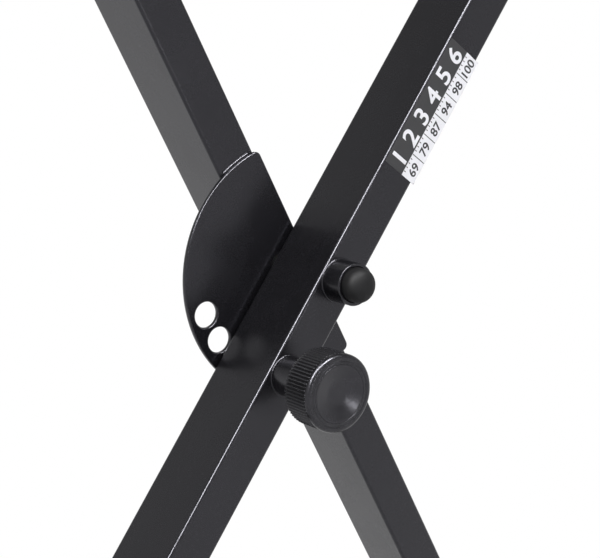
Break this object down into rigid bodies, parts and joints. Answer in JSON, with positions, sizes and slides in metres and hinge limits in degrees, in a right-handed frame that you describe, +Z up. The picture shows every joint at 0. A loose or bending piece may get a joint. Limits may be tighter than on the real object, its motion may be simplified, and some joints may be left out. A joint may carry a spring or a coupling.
{
  "type": "x-frame keyboard stand",
  "caption": "Folding X-frame keyboard stand: two crossed rectangular tubes on a pivot, a half-round locking plate with pin holes, a ribbed pull knob, foot bars and arm bars with rubber caps.",
  "frame": {"origin": "on the floor, under the middle of the stand's bounding box, below the pivot axis", "axes": "+Z up, -Y towards the side with the lock knob, +X to the right seen from that side; the pivot axis runs along Y"},
  "size_m": [0.5358, 0.4782, 0.8744],
  "materials": {
    "black_paint": "semi-gloss black powder coat",
    "cap_rubber": "matt black moulded rubber",
    "zinc_steel": "bright zinc plate",
    "weld_nut_steel": "plain steel",
    "black_oxide_steel": "black oxide",
    "pin_steel": "ground steel, plated",
    "spring_steel": "drawn spring wire",
    "nylon": "natural nylon",
    "knob_plastic": "satin black moulded plastic",
    "plug_plastic": "satin black moulded plastic",
    "insert_brass": "turned brass"
  },
  "bodies": {
    "front_frame": {"front_tube": "black_paint", "front_pivot_tube": "weld_nut_steel", "front_pivot_bushes": "nylon", "friction_washer": "nylon", "pivot_sleeve": "black_paint", "pivot_plug": "plug_plastic", "lock_sleeve": "black_paint", "lock_retainer": "zinc_steel", "lock_spring": "spring_steel", "left_foot_end_plate": "black_paint", "left_foot_bar": "black_paint", "left_foot_cap_front": "cap_rubber", "left_foot_cap_rear": "cap_rubber", "left_foot_bolts": "zinc_steel", "left_foot_washers": "zinc_steel", "left_foot_nuts": "weld_nut_steel", "right_arm_end_plate": "black_paint", "right_arm_bar": "black_paint", "right_arm_cap_front": "cap_rubber", "right_arm_cap_rear": "cap_rubber", "right_arm_bolts": "zinc_steel", "right_arm_washers": "zinc_steel", "right_arm_nuts": "weld_nut_steel"},
    "rear_frame": {"rear_tube": "black_paint", "rear_pivot_tube": "weld_nut_steel", "lock_plate": "black_paint", "pivot_bolt": "black_oxide_steel", "pivot_head_washer": "zinc_steel", "pivot_rear_washer": "zinc_steel", "pivot_nut": "zinc_steel", "pivot_nut_ring": "nylon", "right_foot_end_plate": "black_paint", "right_foot_bar": "black_paint", "right_foot_cap_front": "cap_rubber", "right_foot_cap_rear": "cap_rubber", "right_foot_bolts": "zinc_steel", "right_foot_washers": "zinc_steel", "right_foot_nuts": "weld_nut_steel", "left_arm_end_plate": "black_paint", "left_arm_bar": "black_paint", "left_arm_cap_front": "cap_rubber", "left_arm_cap_rear": "cap_rubber", "left_arm_bolts": "zinc_steel", "left_arm_washers": "zinc_steel", "left_arm_nuts": "weld_nut_steel"},
    "lock_pin": {"lock_pin": "pin_steel", "pin_clip": "pin_steel"},
    "lock_knob": {"lock_knob": "knob_plastic", "knob_insert": "insert_brass", "knob_cap": "knob_plastic"}
  },
  "joints": [
    {"name": "fold", "type": "hinge", "parent": "front_frame", "child": "rear_frame", "pos_m": [0, 0, 0.4372], "axis": [0, 1, 0], "range_deg": [-34, 51]},
    {"name": "lock_pin_push", "type": "slide", "parent": "front_frame", "child": "lock_pin", "axis": [0, 1, 0], "range_m": [0, 0.0049], "stiffness_N_per_m": 2000, "springref_m": 0.0099},
    {"name": "lock_knob_turn", "type": "hinge", "parent": "lock_pin", "child": "lock_knob", "pos_m": [-0.03127, -0.08, 0.38717], "axis": [0, -1, 0], "continuous": true}
  ]
}
